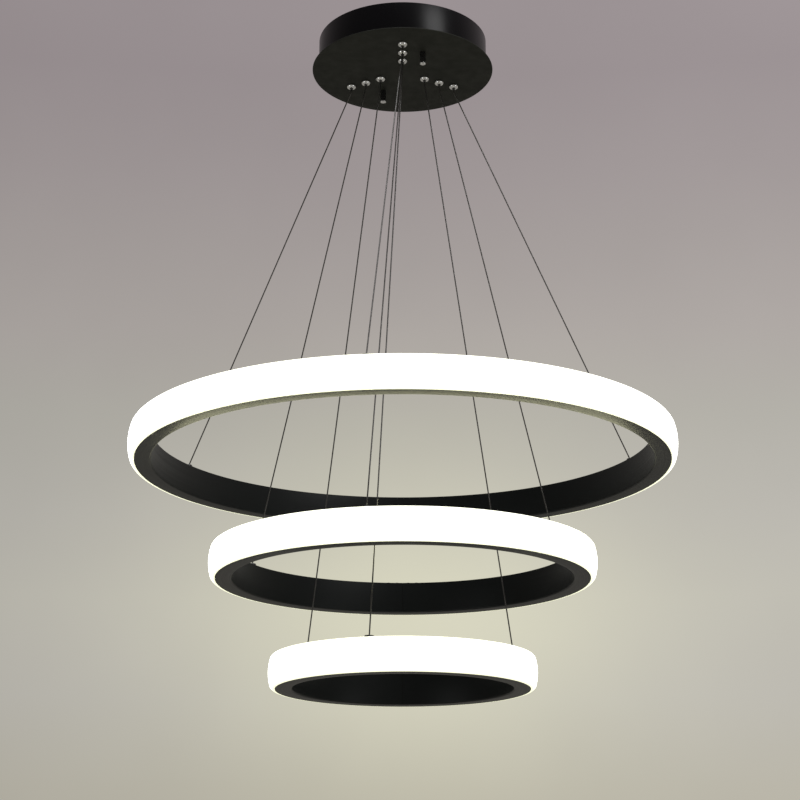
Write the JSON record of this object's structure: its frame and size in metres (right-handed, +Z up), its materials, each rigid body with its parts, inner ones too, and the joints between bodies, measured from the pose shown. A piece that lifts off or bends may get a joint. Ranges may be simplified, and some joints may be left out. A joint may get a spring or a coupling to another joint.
{
  "type": "led ring chandelier",
  "caption": "Hanging light of glowing rings, one under the other, on thin wires from a round black ceiling canopy.",
  "frame": {"origin": "middle of the bracket's top face, on the ceiling plane over the centre of the canopy", "axes": "+Z up into the ceiling, -Y towards the side where one radial line of wires leaves the canopy, +X to the right seen from there"},
  "size_m": [0.7998, 0.7998, 1.0165],
  "materials": {
    "zinc_steel": "zinc plated",
    "satin_black": "satin black lacquer",
    "matt_black": "fine matt black powder coat",
    "white_plastic": "moulded",
    "board_green": "solder mask",
    "terminal_plastic": "moulded",
    "polished_chrome": "polished",
    "dark_nickel": "dark plated",
    "black_aluminium": "black anodised",
    "opal_acrylic": "opal, lit from inside",
    "tape_white": "coated circuit",
    "led_yellow": "phosphor",
    "clear_wire": "dark steel strand in a clear sheath",
    "bare_aluminium": "mill finish",
    "black_nut": "black, with a bright tip"
  },
  "bodies": {
    "canopy": {"ceiling_bracket": "zinc_steel", "bracket_studs": "zinc_steel", "stud_lock_nuts": "zinc_steel", "canopy_wall": "satin_black", "canopy_plate": "matt_black", "plate_nuts": "zinc_steel", "driver_case": "white_plastic", "driver_board": "board_green", "driver_cover": "white_plastic", "terminal_block": "terminal_plastic", "terminal_screws": "zinc_steel", "grip_bodies": "polished_chrome", "grip_lock_nuts": "zinc_steel", "grip_springs": "zinc_steel"},
    "large_ring": {"large_ring_channel": "black_aluminium", "large_ring_diffuser": "opal_acrylic", "large_ring_led_tape": "tape_white", "large_ring_leds": "led_yellow", "large_ring_wire_anchors": "dark_nickel", "large_ring_anchor_nuts": "zinc_steel", "large_ring_wire_ends": "zinc_steel", "large_ring_wires": "clear_wire", "large_ring_splice_plate": "bare_aluminium", "large_ring_splice_screws": "dark_nickel"},
    "middle_ring": {"middle_ring_channel": "black_aluminium", "middle_ring_diffuser": "opal_acrylic", "middle_ring_led_tape": "tape_white", "middle_ring_leds": "led_yellow", "middle_ring_wire_anchors": "dark_nickel", "middle_ring_anchor_nuts": "zinc_steel", "middle_ring_wire_ends": "zinc_steel", "middle_ring_wires": "clear_wire", "middle_ring_splice_plate": "bare_aluminium", "middle_ring_splice_screws": "dark_nickel"},
    "small_ring": {"small_ring_channel": "black_aluminium", "small_ring_diffuser": "opal_acrylic", "small_ring_led_tape": "tape_white", "small_ring_leds": "led_yellow", "small_ring_wire_anchors": "dark_nickel", "small_ring_anchor_nuts": "zinc_steel", "small_ring_wire_ends": "zinc_steel", "small_ring_wires": "clear_wire", "small_ring_splice_plate": "bare_aluminium", "small_ring_splice_screws": "dark_nickel"},
    "large_near_plunger": {"large_near_plunger": "dark_nickel"},
    "large_right_plunger": {"large_right_plunger": "dark_nickel"},
    "large_left_plunger": {"large_left_plunger": "dark_nickel"},
    "middle_near_plunger": {"middle_near_plunger": "dark_nickel"},
    "middle_right_plunger": {"middle_right_plunger": "dark_nickel"},
    "middle_left_plunger": {"middle_left_plunger": "dark_nickel"},
    "small_near_plunger": {"small_near_plunger": "dark_nickel"},
    "small_right_plunger": {"small_right_plunger": "dark_nickel"},
    "small_left_plunger": {"small_left_plunger": "dark_nickel"},
    "near_cap_nut": {"near_cap_nut": "black_nut"},
    "far_cap_nut": {"far_cap_nut": "black_nut"}
  },
  "joints": [
    {"name": "large_ring_lift", "type": "slide", "parent": "canopy", "child": "large_ring", "axis": [0, 0, 1], "range_m": [0, 0.25], "deforming": ["large_ring_wires"]},
    {"name": "middle_ring_lift", "type": "slide", "parent": "canopy", "child": "middle_ring", "axis": [0, 0, 1], "range_m": [0, 0.25], "deforming": ["middle_ring_wires"]},
    {"name": "small_ring_lift", "type": "slide", "parent": "canopy", "child": "small_ring", "axis": [0, 0, 1], "range_m": [0, 0.25], "deforming": ["small_ring_wires"]},
    {"name": "large_near_release", "type": "slide", "parent": "canopy", "child": "large_near_plunger", "axis": [0, 0, 1], "range_m": [0, 0.0015], "stiffness_N_per_m": 200, "springref_m": -0.003, "deforming": ["grip_springs"]},
    {"name": "large_right_release", "type": "slide", "parent": "canopy", "child": "large_right_plunger", "axis": [0, 0, 1], "range_m": [0, 0.0015], "stiffness_N_per_m": 200, "springref_m": -0.003, "deforming": ["grip_springs"]},
    {"name": "large_left_release", "type": "slide", "parent": "canopy", "child": "large_left_plunger", "axis": [0, 0, 1], "range_m": [0, 0.0015], "stiffness_N_per_m": 200, "springref_m": -0.003, "deforming": ["grip_springs"]},
    {"name": "middle_near_release", "type": "slide", "parent": "canopy", "child": "middle_near_plunger", "axis": [0, 0, 1], "range_m": [0, 0.0015], "stiffness_N_per_m": 200, "springref_m": -0.003, "deforming": ["grip_springs"]},
    {"name": "middle_right_release", "type": "slide", "parent": "canopy", "child": "middle_right_plunger", "axis": [0, 0, 1], "range_m": [0, 0.0015], "stiffness_N_per_m": 200, "springref_m": -0.003, "deforming": ["grip_springs"]},
    {"name": "middle_left_release", "type": "slide", "parent": "canopy", "child": "middle_left_plunger", "axis": [0, 0, 1], "range_m": [0, 0.0015], "stiffness_N_per_m": 200, "springref_m": -0.003, "deforming": ["grip_springs"]},
    {"name": "small_near_release", "type": "slide", "parent": "canopy", "child": "small_near_plunger", "axis": [0, 0, 1], "range_m": [0, 0.0015], "stiffness_N_per_m": 200, "springref_m": -0.003, "deforming": ["grip_springs"]},
    {"name": "small_right_release", "type": "slide", "parent": "canopy", "child": "small_right_plunger", "axis": [0, 0, 1], "range_m": [0, 0.0015], "stiffness_N_per_m": 200, "springref_m": -0.003, "deforming": ["grip_springs"]},
    {"name": "small_left_release", "type": "slide", "parent": "canopy", "child": "small_left_plunger", "axis": [0, 0, 1], "range_m": [0, 0.0015], "stiffness_N_per_m": 200, "springref_m": -0.003, "deforming": ["grip_springs"]},
    {"name": "near_nut_turn", "type": "hinge", "parent": "canopy", "child": "near_cap_nut", "pos_m": [0.03088, -0.06504, -0.06], "axis": [0, 0, 1], "continuous": true},
    {"name": "far_nut_turn", "type": "hinge", "parent": "canopy", "child": "far_cap_nut", "pos_m": [-0.03088, 0.06504, -0.06], "axis": [0, 0, 1], "continuous": true}
  ]
}
